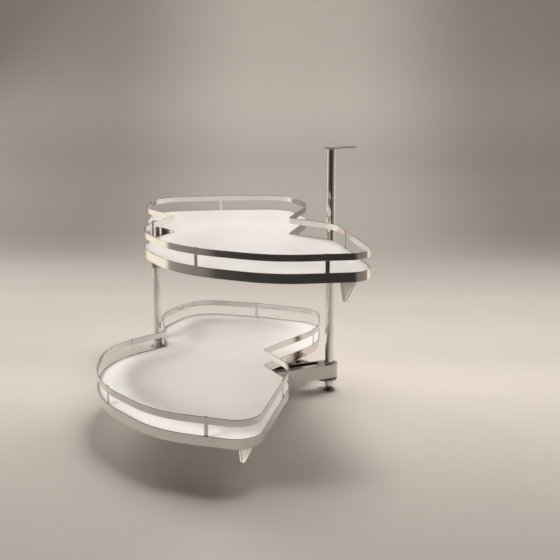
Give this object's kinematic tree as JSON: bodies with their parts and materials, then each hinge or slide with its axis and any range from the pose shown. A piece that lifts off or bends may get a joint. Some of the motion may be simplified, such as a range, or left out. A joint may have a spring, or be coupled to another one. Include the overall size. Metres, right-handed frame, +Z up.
{
  "type": "swing-out corner carousel",
  "caption": "Corner cabinet carousel: notched bean-shaped trays with gallery rails turn on a carrier post that swings out on arms from a fixed floor-to-top post.",
  "frame": {"origin": "on the cabinet floor, under the axis of the main post", "axes": "+X to the cabinet's right, +Y to its back, +Z up along the main post"},
  "size_m": [0.5812, 0.8977, 0.593],
  "materials": {
    "chrome_post": "polished, slightly brushed",
    "arm_metal": "satin powder coat, warm grey",
    "band_metal": "satin, warm grey reflections",
    "white_board": "white melamine-faced board, smooth and slightly glossy",
    "grey_plastic": "fine grain, warm grey",
    "black_steel": "black oxide, slightly oily",
    "dark_plastic": "matt acetal",
    "zinc": "zinc plated",
    "sole_rubber": "matt rubber"
  },
  "bodies": {
    "post": {"main_post": "chrome_post", "top_bracket": "chrome_post", "top_plug": "dark_plastic", "bracket_screw": "zinc", "base_flange": "chrome_post", "base_plug": "dark_plastic", "upper_collar": "dark_plastic", "set_screws": "black_steel"},
    "foot": {"foot_stem": "zinc", "foot_pad": "zinc", "foot_sole": "sole_rubber"},
    "frame": {"lower_arm": "arm_metal", "upper_arm": "arm_metal", "lower_arm_bushes": "grey_plastic", "upper_arm_bushes": "grey_plastic", "lower_slot_liner": "dark_plastic", "upper_slot_liner": "dark_plastic", "lower_glide": "dark_plastic", "upper_glide": "dark_plastic", "lower_link": "arm_metal", "upper_link": "arm_metal", "lower_link_bolts": "black_steel", "upper_link_bolts": "black_steel", "carrier_post": "chrome_post", "carrier_collar": "arm_metal", "carrier_socket": "arm_metal", "carrier_cap": "chrome_post", "hub_washers": "dark_plastic"},
    "lower_tray": {"lower_board": "white_board", "lower_band": "band_metal", "lower_rail": "band_metal", "lower_uprights": "band_metal", "lower_bearer": "arm_metal", "lower_hub_bush": "dark_plastic", "lower_screws": "zinc", "lower_tab": "grey_plastic"},
    "upper_tray": {"upper_board": "white_board", "upper_band": "band_metal", "upper_rail": "band_metal", "upper_uprights": "band_metal", "upper_bearer": "arm_metal", "upper_hub_bush": "dark_plastic", "upper_screws": "zinc", "upper_tab": "grey_plastic"}
  },
  "joints": [
    {"name": "frame_swing", "type": "hinge", "parent": "post", "child": "frame", "pos_m": [0, 0, 0], "axis": [0, 0, 1], "range_deg": [-105, 35]},
    {"name": "lower_tray_turn", "type": "hinge", "parent": "frame", "child": "lower_tray", "pos_m": [-0.42694, 0.08841, 0], "axis": [0, 0, 1], "range_deg": [-76, 24]},
    {"name": "upper_tray_turn", "type": "hinge", "parent": "frame", "child": "upper_tray", "pos_m": [-0.42694, 0.08841, 0], "axis": [0, 0, 1], "range_deg": [-100, 0]},
    {"name": "foot_screw", "type": "slide", "parent": "post", "child": "foot", "axis": [0, 0, 1], "range_m": [-0.012, 0.0026]}
  ]
}
